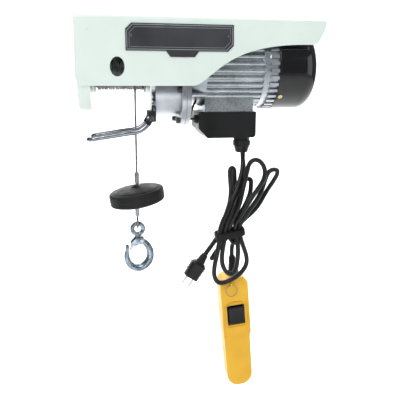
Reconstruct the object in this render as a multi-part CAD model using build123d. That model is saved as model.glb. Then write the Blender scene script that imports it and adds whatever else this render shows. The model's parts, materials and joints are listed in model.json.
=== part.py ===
from build123d import *
import math
import os

# Small electric wire-rope hoist with a hanging pendant control. Millimetres, +Z up.
# The origin is the centre of the frame's top mounting face, and +X runs from the drum to the motor.
# The drum, the rotor and the fan share one axis along X. The rope hangs from the drum's front side.

# ---- driving dimensions: frame ----
FRAME_LENGTH = 400.0
FRAME_WIDTH = 140.0
SHEET = 2.5
WALL_DEPTH = 106.0
FRAME_BEND_R = 6.0
MOUNT_SPACING_X = 280.0
MOUNT_SPACING_Y = 100.0
MOUNT_HOLE_R = 5.5
WINDOW_X, WINDOW_Z = -137.0, -77.0
WINDOW_WIDTH, WINDOW_HEIGHT = 22.0, 30.0

# ---- driving dimensions: drive line ----
AXIS_Z = -76.0
SHAFT_R = 7.5
RUNNING = 0.05
LAYSHAFT_R = 4.0
PINION_TEETH, LAY_GEAR_TEETH, MODULE_1 = 12, 72, 0.9
LAY_PINION_TEETH, OUTPUT_TEETH, MODULE_2 = 12, 51, 1.2
GEAR_CENTRES = MODULE_1 * (PINION_TEETH + LAY_GEAR_TEETH) / 2
LAY_Z = AXIS_Z - GEAR_CENTRES
PRESSURE_ANGLE = math.radians(25.0)
TOOTH_THINNING = 0.12

# ---- driving dimensions: drum, rope and hook ----
ROPE_R = 1.75
DRUM_R = 28.5
WINDING_R = 37.5
ROPE_Y = -(WINDING_R + ROPE_R + 0.4)
ROPE_X = -110.0
ROPE_TOP_Z = AXIS_Z
EAR_LEFT_X = -181.0
EAR_RIGHT_X = -88.0
DRUM_X0, DRUM_X1 = -176.0, -91.0
CRIMP_TOP_Z = -247.0
DISC_R = 45.0
DISC_TOP_Z = -270.0
DISC_TILT = 8.0
DISC_BORE_R = 4.2
UPPER_CRIMP = (-264.0, CRIMP_TOP_Z)
LOWER_CRIMP = (-319.0, -303.0)
EYE_WIRE_Z = -339.0
EYE_R, EYE_BAR_R = 9.0, 3.6
EYE_Z = EYE_WIRE_Z + ROPE_R + 0.3 - (EYE_R - EYE_BAR_R)
HOOK_X = ROPE_X + 2.0
LATCH_PIVOT = (HOOK_X + 4.0, -361.0)
LATCH_PIN_R = 1.5

# ---- driving dimensions: gear case and motor ----
CASE_X0, CASE_X1 = -78.0, -37.0
FLANGE_T = 7.0
GASKET_T = 1.0
SHIELD_X0 = CASE_X1 + FLANGE_T + GASKET_T
SHIELD_X1 = 4.0
MOTOR_R = 66.0
RING_R = 70.0
HOUSING_X1 = 108.0
RING_X1 = 122.0
COVER_X1 = 193.0
FIN_COUNT = 34
RIB_COUNT = 38
COVER_SCREW_ANGLE = 42.0
FLANGE_BOLTS = ((-60.5, -40), (60.5, -40), (-60.5, -112), (60.5, -112), (-28, -163), (28, -163))

# ---- driving dimensions: lever and its pin, in (X, Z) ----
LEVER_PIVOT = (-86.0, -157.0)
LEVER_ROD_R = 4.0
LEVER_FRONT_Y = -62.0
LEVER_BACK_Y = -10.0
LEVER_HUB_R = 5.5
LEVER_PIN_R = 2.5
LEVER_LOOP_REACH = 12.0
LEVER_PATH = (LEVER_PIVOT, (-93, -168), (-104, -176), (-124, -180), (-148, -183.5), (-172, -187))

# ---- driving dimensions: terminal box and cords ----
BOX_X0, BOX_X1 = -6.0, 92.0
BOX_TOP_Z, BOX_BOTTOM_Z = -149.0, -193.0
PAD_X1 = 87.0
BOX_HALF_DEPTH = 40.0
GLAND_X, GLAND_Y = 71.0, -26.0
GLAND_EXIT_Z = -219.0
SIDE_GLAND_Z = -161.0
CORD_R = 4.0
LID_SCREWS = ((BOX_X0 + 9, -155), (BOX_X1 - 9, -155), (BOX_X0 + 24, -187), (BOX_X1 - 9, -185))
THIN_CORD_R = 2.0
HANK_FRONT_Y, HANK_BACK_Y = -62.0, -30.0
LOWER_FRONT_Y, LOWER_BACK_Y = -66.0, -46.5
CABLE_TOP = (
    (72.5, -30.2, GLAND_EXIT_Z), (72.5, -30.2, -230), (71.5, -34, -241), (68.5, -40, -253), (63, -46, -266),
)
SUPPLY_TOP = (
    (74.2, -22, GLAND_EXIT_Z), (74.2, -22, -230), (75.5, -25.5, -241), (73.5, -31, -252), (70, -38, -268),
)
PLUG_TOP = Vector(3, -50, -391)
PLUG_TURN = -34.0

# ---- driving dimensions: pendant, in its own upright frame ----
PENDANT_Y = -28.0
PENDANT_TOP = (54.5, PENDANT_Y, -440.0)
PENDANT_TILT = -4.5
PENDANT_LENGTH = 207.0
PENDANT_HALF_WIDTH = 25.0
PENDANT_FOOT_R = 20.0
PENDANT_SCREW_Z = (-20, -190)
GRIP_DROP = 4.0
SWITCH_Z = -69.0
SWITCH_HALF = 16.0
ROCKER_HALF_WIDTH = 13.5
ROCKER_PIVOT_Y = -10.4
TRUNNION_R = 1.42
RELIEF_X, RELIEF_TOP = 3.5, 34.0
RING_LUG = (-6.0, -21.5, -10.0)
RING_CENTRE_R, RING_WIRE_R = 10.4, 1.0

PARTS = "parts"


# ---- small helpers ----
def rod_x(radius, x0, x1, y=0.0, z=AXIS_Z):
    """Cylinder along X between two X values."""
    return Pos((x0 + x1) / 2, y, z) * Rot(0, 90, 0) * Cylinder(radius, x1 - x0)


def rod_y(radius, y0, y1, x, z):
    """Cylinder along Y between two Y values."""
    return Pos(x, (y0 + y1) / 2, z) * Rot(90, 0, 0) * Cylinder(radius, y1 - y0)


def rod_z(radius, z0, z1, x, y):
    """Cylinder along Z between two Z values."""
    return Pos(x, y, (z0 + z1) / 2) * Cylinder(radius, z1 - z0)


def tube_x(outer, inner, x0, x1, y=0.0, z=AXIS_Z):
    """Ring along X, with an open bore."""
    return rod_x(outer, x0, x1, y, z) - rod_x(inner, x0 - 1, x1 + 1, y, z)


def cone_x(radius0, radius1, x0, x1):
    """Cone on the drive axis, from radius0 at x0 to radius1 at x1."""
    return Pos((x0 + x1) / 2, 0, AXIS_Z) * Rot(0, 90, 0) * Cone(radius0, radius1, x1 - x0)


def block(x0, x1, y0, y1, z0, z1):
    """Box between two corners."""
    return Pos((x0 + x1) / 2, (y0 + y1) / 2, (z0 + z1) / 2) * Box(x1 - x0, y1 - y0, z1 - z0)


def prism_x(face, x0, x1):
    """Face drawn in (Y, Z), extruded between two X values."""
    return extrude(Plane.YZ.offset(x0) * face, x1 - x0, dir=(1, 0, 0))


def prism_y(face, y0, y1):
    """Face drawn in (X, Z), extruded between two Y values."""
    return extrude(Plane.XZ.offset(-y0) * face, y1 - y0, dir=(0, 1, 0))


def tall_face(half_width, top, bottom, top_r, bottom_r):
    """Upright rounded outline, symmetric about the middle."""
    face = make_face(
        Polyline(
            (-half_width, top), (half_width, top), (half_width, bottom), (-half_width, bottom),
            close=True,
        )
    )
    corners = face.vertices().sort_by(Axis.Y)
    face = fillet(corners[:2], bottom_r)
    if top_r > 0:
        corners = face.vertices().sort_by(Axis.Y)
        face = fillet(corners[-2:], top_r)
    return face


def around_axis(shape, count, start=0.0):
    """Copies of a shape turned evenly about the drive axis."""
    centre = Pos(0, 0, AXIS_Z)
    back = Pos(0, 0, -AXIS_Z)
    return [centre * Rot(start + 360.0 * i / count, 0, 0) * back * shape for i in range(count)]


def cap_screw(head_r, head_h, shank_r, length):
    """Socket cap screw along Z, its shank pointing down from the head's underside at z = 0."""
    screw = Pos(0, 0, head_h / 2) * Cylinder(head_r, head_h)
    screw += Pos(0, 0, -length / 2) * Cylinder(shank_r, length)
    screw -= Pos(0, 0, head_h) * extrude(RegularPolygon(head_r * 0.5, 6), -head_h * 0.5)
    return screw


def save(node, shape):
    """Write one node as a STEP file."""
    export_step(shape, os.path.join(PARTS, node + ".step"))


# ---- gears ----
def gear_face(teeth, module, bore_r, phase):
    """Spur gear outline from the involute of its base circle, one tooth centred on the phase angle."""
    pitch_r = module * teeth / 2
    base_r = pitch_r * math.cos(PRESSURE_ANGLE)
    tip_r = pitch_r + module
    root_r = pitch_r - 1.25 * module
    involute_at_pitch = math.tan(PRESSURE_ANGLE) - PRESSURE_ANGLE
    half_tooth = math.pi / (2 * teeth) - TOOTH_THINNING / (2 * pitch_r)
    flank_start = max(base_r, root_r)
    points = []
    for tooth in range(teeth):
        centre = math.radians(phase) + 2 * math.pi * tooth / teeth
        flank = []
        for radius in (flank_start, (flank_start + pitch_r) / 2, pitch_r, (pitch_r + tip_r) / 2, tip_r):
            pressure = math.acos(min(1.0, base_r / radius))
            half = half_tooth + involute_at_pitch - (math.tan(pressure) - pressure)
            flank.append((radius, half))
        side = [(root_r, flank[0][1] + 0.02 / teeth)] + flank
        for radius, half in side:
            points.append((radius * math.cos(centre - half), radius * math.sin(centre - half)))
        for radius, half in reversed(side):
            points.append((radius * math.cos(centre + half), radius * math.sin(centre + half)))
    return make_face(Polyline(*points, close=True)) - Circle(bore_r)


def gear(teeth, module, bore_r, phase, x0, x1, z):
    """Spur gear on an axis along X at height z."""
    return prism_x(Pos(0, z) * gear_face(teeth, module, bore_r, phase), x0, x1)


# ---- frame and its plates ----
def frame_shell():
    half = FRAME_LENGTH / 2
    upper = Line((-half, 0), (half, 0))
    end = Spline((half, 0), (half - 2, -14), (half - 10, -30), (half - 24, -40), tangents=((0, -1), (-1, 0)))
    rise = Spline(
        (half - 24, -40), (139, -41), (85, -49), (43, -65), (15, -84), (-6, -100), (-24, -WALL_DEPTH),
        tangents=((-1, 0), (-1, 0)),
    )
    lower = Polyline((-24, -WALL_DEPTH), (-half + 6, -WALL_DEPTH), (-half, -WALL_DEPTH + 12), (-half, 0))
    outline = make_face(Curve() + [upper, end, rise, lower])
    outer = tall_face(FRAME_WIDTH / 2, 0, -WALL_DEPTH - 10, FRAME_BEND_R, 1)
    inner = tall_face(FRAME_WIDTH / 2 - SHEET, -SHEET, -WALL_DEPTH - 20, FRAME_BEND_R - SHEET, 1)
    channel = prism_x(outer, -half, half) - prism_x(inner, -half - 1, half + 1)
    shell = channel & prism_y(outline, -FRAME_WIDTH, FRAME_WIDTH)
    window = Pos(WINDOW_X, WINDOW_Z) * Ellipse(WINDOW_WIDTH / 2, WINDOW_HEIGHT / 2)
    shell -= prism_y(window, -FRAME_WIDTH, FRAME_WIDTH)
    for x in (-MOUNT_SPACING_X / 2, MOUNT_SPACING_X / 2):
        for y in (-MOUNT_SPACING_Y / 2, MOUNT_SPACING_Y / 2):
            shell -= rod_z(MOUNT_HOLE_R, -SHEET - 1, 1, x, y)
    return shell


def ear_face(inset=0.0):
    """Drum end plate outline in (Y, Z): straight at the back, swept back towards the bottom at the front."""
    half = FRAME_WIDTH / 2 - SHEET - inset
    bottom = -147.0 + inset
    sweep = Spline(
        (-half, -96), (-half + 9, -122), (-half + 27, -139), (-half + 52, bottom),
        tangents=((0, -1), (1, 0)),
    )
    foot = Line((-half + 52, bottom), (half - 12, bottom))
    heel = RadiusArc((half - 12, bottom), (half, bottom + 12), -12)
    sides = Polyline((half, bottom + 12), (half, -FRAME_BEND_R), (-half, -FRAME_BEND_R), (-half, -96))
    return make_face(Curve() + [sweep, foot, heel, sides])


def drum_end_plate():
    rim_x = EAR_LEFT_X - 17
    plate = prism_x(ear_face(), rim_x, EAR_LEFT_X + SHEET)
    plate -= prism_x(ear_face(SHEET), rim_x - 1, EAR_LEFT_X)
    plate -= block(rim_x - 1, EAR_LEFT_X, -FRAME_WIDTH, FRAME_WIDTH, -FRAME_BEND_R - SHEET - 1, 0)
    plate -= rod_x(12, EAR_LEFT_X - 1, EAR_LEFT_X + SHEET + 1)
    return plate


def drum_inner_plate():
    half = FRAME_WIDTH / 2 - SHEET
    plate = prism_x(tall_face(half, -FRAME_BEND_R, -145, 0, 14), EAR_RIGHT_X, EAR_RIGHT_X + SHEET)
    plate -= rod_x(30, EAR_RIGHT_X - 1, EAR_RIGHT_X + SHEET + 1)
    return plate


def plate_outline(x0, x1, z0, z1, chamfer):
    """Name plate outline in (X, Z), with its upper left and lower right corners cut."""
    return make_face(
        Polyline(
            (x0 + chamfer, z1), (x1, z1), (x1, z0 + chamfer),
            (x1 - chamfer, z0), (x0, z0), (x0, z1 - chamfer),
            close=True,
        )
    )


def name_plate():
    front = -FRAME_WIDTH / 2
    plate = prism_y(plate_outline(-124, 44, -53, -12, 9), front - 1.2, front)
    tab = make_face(Polyline((-63, -53), (-11, -53), (-18, -62), (-56, -62), close=True))
    plate += prism_y(tab, front - 1.2, front)
    for x in (-116, 36):
        plate -= rod_y(1.6, front - 2, front + 1, x, -30)
    return plate


def name_plate_rivets():
    front = -FRAME_WIDTH / 2
    rivets = []
    for x in (-116, 36):
        head = rod_y(2.6, front - 2.0, front - 1.2, x, -30)
        rivets.append(head + rod_y(1.5, front - 1.3, front, x, -30))
    return Compound(children=rivets)


# ---- drum ----
def drum():
    body = tube_x(DRUM_R, DRUM_R - 4, DRUM_X0, DRUM_X1)
    for x in (DRUM_X0, DRUM_X1 - 3):
        body += tube_x(WINDING_R + 3, SHAFT_R, x, x + 3)
    return body


def wound_rope():
    return tube_x(WINDING_R, DRUM_R, DRUM_X0 + 3, DRUM_X1 - 3)


def drum_shaft():
    shaft = rod_x(SHAFT_R, EAR_LEFT_X - 9, CASE_X0 + 22)
    shaft += rod_x(SHAFT_R + 3, EAR_LEFT_X - 9, EAR_LEFT_X - 6.3)
    return shaft


def shaft_bushes():
    """Bronze bushes: a flanged one in the left plate, one in the gear case wall and two for the layshaft."""
    bore = SHAFT_R + RUNNING
    left = tube_x(12, bore, EAR_LEFT_X - 6, EAR_LEFT_X + SHEET)
    left += tube_x(16, bore, EAR_LEFT_X - 3, EAR_LEFT_X)
    bushes = [left, tube_x(12, bore, CASE_X0 - 1, CASE_X0 + 8)]
    for x0 in (CASE_X0 + 2, SHIELD_X0 - 1):
        bushes.append(tube_x(7, LAYSHAFT_R + RUNNING, x0, x0 + 6, 0, LAY_Z))
    return Compound(children=bushes)


def rope_clamp_screw():
    return Pos(DRUM_X0, 0, AXIS_Z + 33) * Rot(0, -90, 0) * cap_screw(3.5, 1.2, 2, 2.9)


def output_gear():
    return gear(OUTPUT_TEETH, MODULE_2, SHAFT_R, -90 + 180 / OUTPUT_TEETH, -68, -57, AXIS_Z)


def lay_shaft():
    shaft = rod_x(LAYSHAFT_R, CASE_X0 + 2, SHIELD_X0 + 5, 0, LAY_Z)
    shaft += gear(LAY_PINION_TEETH, MODULE_2, LAYSHAFT_R - 0.5, 90, -69, -56, LAY_Z)
    return shaft


def lay_gear():
    return gear(LAY_GEAR_TEETH, MODULE_1, LAYSHAFT_R, 90 + 180 / LAY_GEAR_TEETH, -48, -41, LAY_Z)


# ---- gear case ----
def flange_face():
    return tall_face(FRAME_WIDTH / 2 - SHEET - 0.5, -8, -172, 10, 50)


def cut_bolt_holes(shape, x0, x1, radius=3.2):
    for y, z in FLANGE_BOLTS:
        shape -= rod_x(radius, x0 - 1, x1 + 1, y, z)
    return shape


def gear_case():
    case = prism_x(tall_face(54, -14, -157, 18, 45), CASE_X0, CASE_X1 + 1)
    case += prism_x(flange_face(), CASE_X1, CASE_X1 + FLANGE_T)
    case -= prism_x(tall_face(50, -18, -153, 14, 41), CASE_X0 + 5, CASE_X1 + FLANGE_T + 1)
    case += rod_x(18, CASE_X0 + 4, CASE_X0 + 8)
    case += rod_x(11, CASE_X0 + 4, CASE_X0 + 8, 0, LAY_Z)
    case -= rod_x(12, CASE_X0 - 1, CASE_X0 + 9)
    case -= rod_x(7, CASE_X0 + 2, CASE_X0 + 9, 0, LAY_Z)
    return cut_bolt_holes(case, CASE_X1, CASE_X1 + FLANGE_T)


def spacer_ring():
    return tube_x(61, 32, EAR_RIGHT_X + SHEET, CASE_X0)


def case_gasket():
    x0 = CASE_X1 + FLANGE_T
    sheet = prism_x(flange_face(), x0, x0 + GASKET_T)
    sheet -= prism_x(tall_face(50, -18, -153, 14, 41), x0 - 1, x0 + GASKET_T + 1)
    return cut_bolt_holes(sheet, x0, x0 + GASKET_T)


def flange_bolts():
    bolts = []
    for y, z in FLANGE_BOLTS:
        bolts.append(Pos(CASE_X1, y, z) * Rot(0, -90, 0) * cap_screw(5, 6, 3, 2 * FLANGE_T + GASKET_T))
    return Compound(children=bolts)


def front_end_shield():
    shield = prism_x(flange_face(), SHIELD_X0, SHIELD_X0 + FLANGE_T)
    shield += cone_x(57, 65, SHIELD_X0 + FLANGE_T, SHIELD_X1)
    shield -= cone_x(51, 60, SHIELD_X0 + FLANGE_T, SHIELD_X1 + 0.01)
    shield += tube_x(24, 17.5, SHIELD_X0 + 4, SHIELD_X0 + FLANGE_T + 12)
    for y, z in ((-46, -120), (46, -120), (-46, -32), (46, -32)):
        shield += rod_x(5, SHIELD_X0 + FLANGE_T, SHIELD_X1, y, z)
    shield -= rod_x(17.5, SHIELD_X0 + 4, SHIELD_X1)
    shield -= rod_x(9, SHIELD_X0 - 1, SHIELD_X0 + 5)
    shield -= rod_x(7, SHIELD_X0 - 1, SHIELD_X0 + 5, 0, LAY_Z)
    return cut_bolt_holes(shield, SHIELD_X0, SHIELD_X0 + FLANGE_T)


# ---- motor ----
def motor_housing():
    body = rod_x(MOTOR_R - 4.5, SHIELD_X1, HOUSING_X1 - 10)
    fin = rod_x(4.2, SHIELD_X1, HOUSING_X1 - 10, 0, AXIS_Z + MOTOR_R - 4.5)
    body = body.fuse(*around_axis(fin, FIN_COUNT))
    body += rod_x(MOTOR_R, HOUSING_X1 - 10, HOUSING_X1)
    body += block(SHIELD_X1, PAD_X1, -BOX_HALF_DEPTH + 2, BOX_HALF_DEPTH - 2, BOX_TOP_Z, AXIS_Z - 40)
    body -= rod_x(MOTOR_R - 10, SHIELD_X1 - 1, HOUSING_X1 + 1)
    body -= block(30, 60, -15, 15, BOX_TOP_Z - 1, AXIS_Z - 50)
    return body


def stator_core():
    core = tube_x(MOTOR_R - 10, 34, 22, 82)
    slot = rod_x(4, 21, 83, 0, AXIS_Z + 41)
    return core.cut(*around_axis(slot, 24))


def stator_windings():
    bundle = rod_x(3.6, 14, 90, 0, AXIS_Z + 41)
    left_turns = tube_x(50, 37, 10, 20)
    right_turns = tube_x(50, 37, 84, 94)
    return left_turns.fuse(right_turns, *around_axis(bundle, 24))


def rotor_core():
    return tube_x(33.4, SHAFT_R, 22, 82)


def rotor_shaft():
    """Shaft with the first pinion cut on its end."""
    shaft = rod_x(SHAFT_R, SHIELD_X0 + 4, 158)
    shaft += rod_x(4.2, -40, SHIELD_X0 + 4.5)
    shaft += gear(PINION_TEETH, MODULE_1, 2, -90, -50, -39, AXIS_Z)
    return shaft


def rotor_bearings():
    bearings = []
    for x0 in (SHIELD_X0 + 6, HOUSING_X1 - 4):
        outer = tube_x(17.5, 14.5, x0, x0 + 11)
        inner = tube_x(10.5, SHAFT_R + RUNNING, x0, x0 + 11)
        cage = Pos(x0 + 5.5, 0, AXIS_Z) * Rot(0, 90, 0) * Torus(12.5, 2.3)
        bearings.append(outer + inner + cage)
    return Compound(children=bearings)


def rear_end_shield():
    shield = tube_x(RING_R - 4, 58, HOUSING_X1, RING_X1)
    shield += tube_x(60, 17.5, HOUSING_X1 + 1, HOUSING_X1 + 5)
    shield += tube_x(24, 17.5, HOUSING_X1 - 6, HOUSING_X1 + 8)
    rib = block(HOUSING_X1, RING_X1, -2.7, 2.7, AXIS_Z + 60, AXIS_Z + RING_R)
    shield = shield.fuse(*around_axis(rib, RIB_COUNT))
    return shield & rod_x(RING_R, HOUSING_X1 - 10, RING_X1 + 1)


def brake_pad():
    return tube_x(38, 25, HOUSING_X1 + 5, HOUSING_X1 + 9.5)


def brake_disc():
    disc = tube_x(38, SHAFT_R, HOUSING_X1 + 10, HOUSING_X1 + 15)
    return disc + tube_x(14, SHAFT_R, HOUSING_X1 + 10, HOUSING_X1 + 22)


def fan():
    hub = tube_x(14, SHAFT_R, 132, 156)
    disc = tube_x(54, 13, 132, 134.5)
    blade = block(134, 154, -1.2, 1.2, AXIS_Z + 13, AXIS_Z + 56)
    return hub.fuse(disc, *around_axis(blade, 9))


def fan_cover():
    outer = rod_x(RING_R, RING_X1, COVER_X1)
    outer = fillet(outer.edges().sort_by(Axis.X)[-1], 24)
    inner = rod_x(RING_R - 2.2, RING_X1 - 1, COVER_X1 - 2.2)
    inner = fillet(inner.edges().sort_by(Axis.X)[-1], 22)
    cover = outer - inner
    slot = block(COVER_X1 - 6, COVER_X1 + 1, -1.8, 1.8, AXIS_Z + 12, AXIS_Z + 44)
    cover = cover.cut(*around_axis(slot, 20))
    hole = rod_z(2.1, AXIS_Z + RING_R - 4, AXIS_Z + RING_R + 1, RING_X1 + 7, 0)
    return cover.cut(*around_axis(hole, 4, COVER_SCREW_ANGLE))


def cover_screws():
    """Four screws round the fan cover and four through the terminal box lid."""
    screw = Pos(RING_X1 + 7, 0, AXIS_Z + RING_R) * cap_screw(3.6, 2, 2, 6)
    screws = around_axis(screw, 4, COVER_SCREW_ANGLE)
    for x, z in LID_SCREWS:
        screws.append(Pos(x, BOX_HALF_DEPTH, z) * Rot(-90, 0, 0) * cap_screw(3.6, 2, 2, 2.9))
    return Compound(children=screws)


# ---- terminal box ----
def box_face(inset=0.0):
    """Terminal box outline in (X, Z), with its lower left corner cut."""
    x0, x1 = BOX_X0 + inset, BOX_X1 - inset
    z0, z1 = BOX_BOTTOM_Z + inset, BOX_TOP_Z - inset
    face = make_face(Polyline((x0, z1), (x1, z1), (x1, z0), (x0 + 15, z0), (x0, z0 + 16), close=True))
    corner = face.vertices().sort_by(lambda v: v.Y - v.X)[0]
    return fillet(corner, 6 - inset)


def terminal_box():
    box = prism_y(box_face(), -BOX_HALF_DEPTH, BOX_HALF_DEPTH - 3)
    box -= prism_y(box_face(3), -BOX_HALF_DEPTH + 3, BOX_HALF_DEPTH)
    box -= rod_z(9.5, BOX_BOTTOM_Z - 1, BOX_BOTTOM_Z + 4, GLAND_X, GLAND_Y)
    box -= rod_x(4, BOX_X0 - 1, BOX_X0 + 4, GLAND_Y, SIDE_GLAND_Z)
    box -= block(30, 60, -15, 15, BOX_TOP_Z - 4, BOX_TOP_Z + 1)
    return box


def box_lid():
    lid = prism_y(box_face(), BOX_HALF_DEPTH - 3, BOX_HALF_DEPTH)
    for x, z in LID_SCREWS:
        lid -= rod_y(2.1, BOX_HALF_DEPTH - 4, BOX_HALF_DEPTH + 1, x, z)
    return lid


def capacitor():
    can = rod_x(13, 22, 72, 12, -168)
    for y in (8, 16):
        can += block(72, 77, y - 1, y + 1, -171, -165)
    return can


def terminal_block():
    base = block(14, 46, -30, -18, -190, -182)
    for i in range(4):
        base += block(15 + 8 * i, 21 + 8 * i, -29, -19, -182, -176)
    return base


def main_gland():
    gland = rod_z(9.4, BOX_BOTTOM_Z - 1, BOX_BOTTOM_Z + 6, GLAND_X, GLAND_Y)
    gland += Pos(GLAND_X, GLAND_Y, BOX_BOTTOM_Z - 6) * extrude(RegularPolygon(14, 6), 6)
    gland += rod_z(15, BOX_BOTTOM_Z - 14, BOX_BOTTOM_Z - 6, GLAND_X, GLAND_Y)
    nose = BOX_BOTTOM_Z - 14
    taper = Cone(13.5, 10, nose - GLAND_EXIT_Z, rotation=(180, 0, 0))
    return gland + Pos(GLAND_X, GLAND_Y, (nose + GLAND_EXIT_Z) / 2) * taper


def side_gland():
    gland = rod_x(3.9, BOX_X0 - 1, BOX_X0 + 6, GLAND_Y, SIDE_GLAND_Z)
    gland += prism_x(Pos(GLAND_Y, SIDE_GLAND_Z) * RegularPolygon(8, 6), BOX_X0 - 4, BOX_X0)
    gland += rod_x(6.5, BOX_X0 - 6.5, BOX_X0 - 3, GLAND_Y, SIDE_GLAND_Z)
    return gland


def cable_glands():
    return Compound(children=[main_gland(), side_gland()])


# ---- limit switch and its lever ----
def limit_lever():
    """Bent rod: down one side, round the end as a loop, and back along the other side."""
    width = LEVER_BACK_Y - LEVER_FRONT_Y
    side = Spline(*[(x, LEVER_FRONT_Y, z) for x, z in LEVER_PATH])
    start = Plane(origin=side @ 0, z_dir=side % 0)
    front = sweep(start * Circle(LEVER_ROD_R), side)
    back = Pos(0, width, 0) * front
    tip = side @ 1
    ahead = (side % 1) * LEVER_LOOP_REACH
    across = Vector(0, width, 0)
    loop = FilletPolyline(tip, tip + ahead, tip + ahead + across, tip + across, radius=LEVER_LOOP_REACH - 2)
    end = sweep(Plane(origin=tip, z_dir=side % 1) * Circle(LEVER_ROD_R), loop)
    hubs = []
    for y in (LEVER_FRONT_Y, LEVER_BACK_Y):
        hubs.append(rod_y(LEVER_HUB_R, y - 5, y + 5, *LEVER_PIVOT))
    lever = front.fuse(back, end, *hubs)
    return lever - rod_y(LEVER_PIN_R + RUNNING, LEVER_FRONT_Y - 6, LEVER_BACK_Y + 6, *LEVER_PIVOT)


def lever_bracket():
    """Plate on the gear case with two ears that carry the lever's pin."""
    x, z = LEVER_PIVOT
    ears = []
    for y in (LEVER_FRONT_Y + 8, LEVER_BACK_Y - 8):
        ears.append(block(x - 5, CASE_X0, y - 2, y + 2, z - 6, -146))
    bracket = block(CASE_X0 - 2, CASE_X0, LEVER_FRONT_Y + 10, LEVER_BACK_Y - 10, -146, -138).fuse(*ears)
    bridge = block(CASE_X0 - 2, CASE_X0, LEVER_FRONT_Y + 6, LEVER_BACK_Y - 6, -147, -138)
    return bracket + bridge - rod_y(LEVER_PIN_R, -90, 20, x, z)


def lever_pin():
    x, z = LEVER_PIVOT
    pin = rod_y(LEVER_PIN_R, LEVER_FRONT_Y - 6, LEVER_BACK_Y + 6, x, z)
    for y in (LEVER_FRONT_Y - 7, LEVER_BACK_Y + 6):
        pin += rod_y(4, y, y + 1, x, z)
    return pin


# ---- rope end and hook ----
def hoist_rope():
    return rod_z(ROPE_R, CRIMP_TOP_Z, ROPE_TOP_Z, ROPE_X, ROPE_Y)


def crimp(z_low, z_top):
    """Flattened oval sleeve pressed round the rope."""
    return Pos(ROPE_X, ROPE_Y, z_low) * extrude(Ellipse(4, 6.5), z_top - z_low)


def rope_crimps():
    return Compound(children=[crimp(*UPPER_CRIMP), crimp(*LOWER_CRIMP)])


def rope_loop():
    """Rope between the two crimps, and its eye below them in the plane across the hook."""
    top, low, half = LOWER_CRIMP[0], EYE_WIRE_Z + 7.0, 7.0
    route = (
        (-2.2, top), (-half, top - 7), (-half, low), (-half + 3.5, EYE_WIRE_Z), (half - 3.5, EYE_WIRE_Z),
        (half, low), (half, top - 7), (2.2, top),
    )
    points = [Vector(ROPE_X, ROPE_Y + y, z) for y, z in route]
    path = FilletPolyline(*points, radius=2.5)
    eye = sweep(Plane(origin=points[0], z_dir=points[1] - points[0]) * Circle(ROPE_R), path)
    through_disc = rod_z(ROPE_R, LOWER_CRIMP[1], UPPER_CRIMP[0], ROPE_X, ROPE_Y)
    return Compound(children=[eye, through_disc])


def stop_disc():
    """Rubber stop: a thick puck with domed faces, a straight rim and rounded edges, threaded on the rope."""
    half = 16.0
    rim = 6.5
    edge = 4.0
    corner = edge * math.sqrt(0.5)
    corner_r = DISC_R - edge + corner
    outline = make_face(
        Curve() + [
            Line((0, -half), (0, half)),
            ThreePointArc((0, half), (DISC_R / 2, half - 1.8), (DISC_R - edge, rim + edge)),
            ThreePointArc((DISC_R - edge, rim + edge), (corner_r, rim + corner), (DISC_R, rim)),
            Line((DISC_R, rim), (DISC_R, -rim)),
            ThreePointArc((DISC_R, -rim), (corner_r, -rim - corner), (DISC_R - edge, -rim - edge)),
            ThreePointArc((DISC_R - edge, -rim - edge), (DISC_R / 2, -half + 1.8), (0, -half)),
        ]
    )
    lens = revolve(Plane.XZ * outline, Axis.Z) - Cylinder(DISC_BORE_R, 3 * half)
    return Pos(ROPE_X, ROPE_Y, DISC_TOP_Z - half) * Rot(0, -DISC_TILT, 0) * lens


def hook():
    """Forged hook with a round eye, drawn by its centre line and thickened by overlapping rounds."""
    eye = Pos(ROPE_X, ROPE_Y, EYE_Z) * Rot(90, 0, 0) * Torus(EYE_R, EYE_BAR_R)
    path = Spline(
        (ROPE_X, EYE_Z - 10), (HOOK_X + 5, -362), (HOOK_X + 15, -374), (HOOK_X + 18, -392),
        (HOOK_X + 8, -407),
        (HOOK_X - 6, -410), (HOOK_X - 17, -402), (HOOK_X - 21, -388), (HOOK_X - 20, -372),
    )
    sections = []
    radii = (3.6, 4.6, 5.6, 6.4, 6.6, 6.2, 5.4, 4.4, 3.2)
    for i, radius in enumerate(radii):
        at = i / (len(radii) - 1)
        point = path @ at
        direction = path % at
        plane = Plane(origin=(point.X, ROPE_Y, point.Y), x_dir=(0, 1, 0), z_dir=(direction.X, 0, direction.Y))
        sections.append(plane * Circle(radius))
    shank = loft(sections)
    tip = path @ 1
    body = eye.fuse(shank, Pos(tip.X, ROPE_Y, tip.Y) * Sphere(3.2))
    px, pz = LATCH_PIVOT
    body += rod_y(5, ROPE_Y - 3, ROPE_Y + 3, px, pz)
    return body - rod_y(LATCH_PIN_R, ROPE_Y - 10, ROPE_Y + 10, px, pz)


def hook_latch():
    """Sheet latch with two cheeks over the neck, closing on the inside of the tip."""
    px, pz = LATCH_PIVOT
    cheeks = []
    for y in (ROPE_Y - 8.2, ROPE_Y + 7.0):
        cheek = make_face(
            Polyline(
                (px + 4, pz + 4), (px - 10, pz + 4), (px - 19, pz - 6), (px - 17, pz - 10), (px + 4, pz - 5),
                close=True,
            )
        )
        cheeks.append(prism_y(cheek, y, y + 1.2))
    tongue = make_face(
        Polyline(
            (px - 8.5, pz - 2), (px - 18.4, pz - 16), (px - 19.8, pz - 15), (px - 10, pz - 1),
            close=True,
        )
    )
    latch = prism_y(tongue, ROPE_Y - 8.2, ROPE_Y + 8.2).fuse(*cheeks)
    return latch - rod_y(LATCH_PIN_R + RUNNING, ROPE_Y - 12, ROPE_Y + 12, px, pz)


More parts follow.
